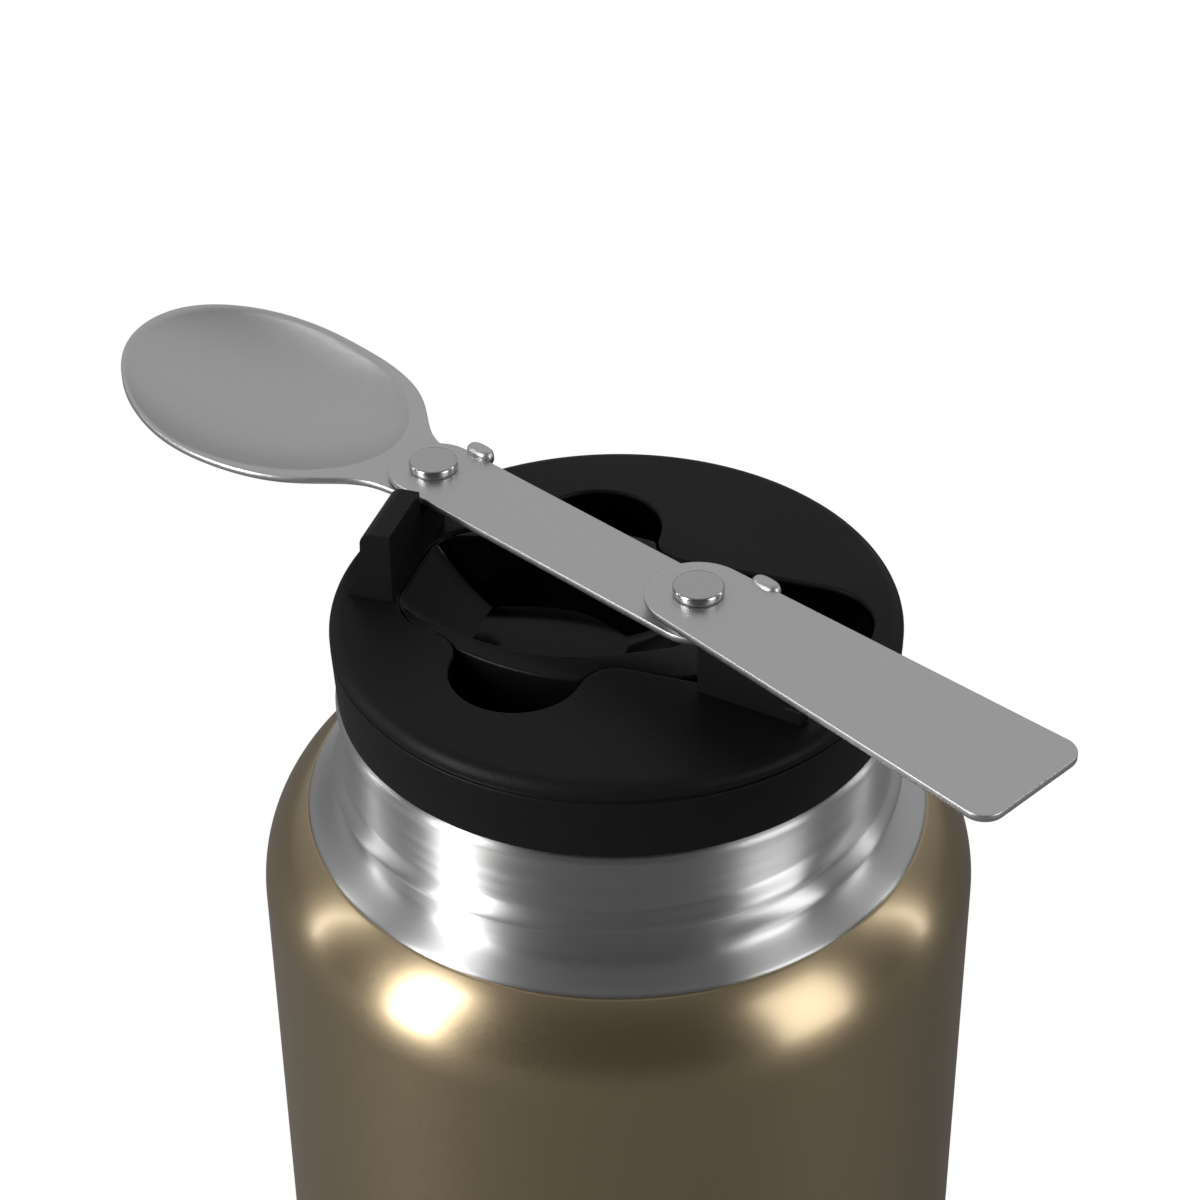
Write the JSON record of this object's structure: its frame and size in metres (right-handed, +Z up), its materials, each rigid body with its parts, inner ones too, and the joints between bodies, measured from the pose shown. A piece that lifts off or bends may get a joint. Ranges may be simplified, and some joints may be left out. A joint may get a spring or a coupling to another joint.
{
  "type": "insulated food jar",
  "caption": "Vacuum food jar with a bare steel neck, a screw stopper with a spoon cradle in its top, and a folding spoon lying open across it.",
  "frame": {"origin": "the jar's axis at the plane it stands on", "axes": "+Z up along the jar's axis; +X to the right and +Y away, as the picture looks at it"},
  "size_m": [0.1342, 0.1286, 0.154],
  "materials": {
    "gold_paint": "champagne metallic satin paint",
    "steel": "turned and brushed steel",
    "satin_steel": "satin blasted steel",
    "matte_black": "fine matte moulding",
    "gloss_black": "polished black moulding",
    "seal_pad": "grey sealing pad",
    "getter_metal": "sintered metal",
    "foam": "closed-cell foam",
    "silicone": "translucent silicone",
    "washer_nylon": "black nylon"
  },
  "bodies": {
    "jar": {"outer_shell": "gold_paint", "neck_ring": "steel", "inner_liner": "steel", "base_plate": "steel", "vacuum_seal": "seal_pad", "getter": "getter_metal", "base_cover": "gold_paint"},
    "seal_ring": {"neck_gasket": "silicone"},
    "stopper": {"stopper_shell": "matte_black", "stopper_cover": "matte_black", "spoon_tray": "gloss_black", "plug_insulation": "foam", "plug_cover": "matte_black", "spoon_hook": "matte_black", "spoon_rest": "gloss_black"},
    "link": {"spoon_link": "satin_steel", "bowl_washer": "washer_nylon", "handle_spacer": "washer_nylon", "bowl_rivet": "satin_steel", "handle_rivet": "satin_steel"},
    "bowl": {"spoon_bowl": "satin_steel"},
    "handle": {"spoon_handle": "satin_steel"}
  },
  "joints": [
    {"name": "stopper_rise", "type": "slide", "parent": "jar", "child": "seal_ring", "axis": [0, 0, 1], "range_m": [0, 0.03]},
    {"name": "stopper_turn", "type": "hinge", "parent": "seal_ring", "child": "stopper", "pos_m": [0, 0, 0.12], "axis": [0, 0, 1], "range_deg": [0, 720]},
    {"name": "spoon_lift", "type": "slide", "parent": "stopper", "child": "link", "axis": [0, 0, 1], "range_m": [0, 0.06]},
    {"name": "bowl_fold", "type": "hinge", "parent": "link", "child": "bowl", "pos_m": [-0.0259, 0.0207, 0.1485], "axis": [0, 0, 1], "range_deg": [-165, 0]},
    {"name": "handle_fold", "type": "hinge", "parent": "link", "child": "handle", "pos_m": [0.01096, -0.0144, 0.1519], "axis": [0, 0, 1], "range_deg": [0, 180]}
  ],
  "couplings": [
    {"joint": "stopper_rise", "follows": "stopper_turn", "m_per_rad": 0.0023873}
  ]
}
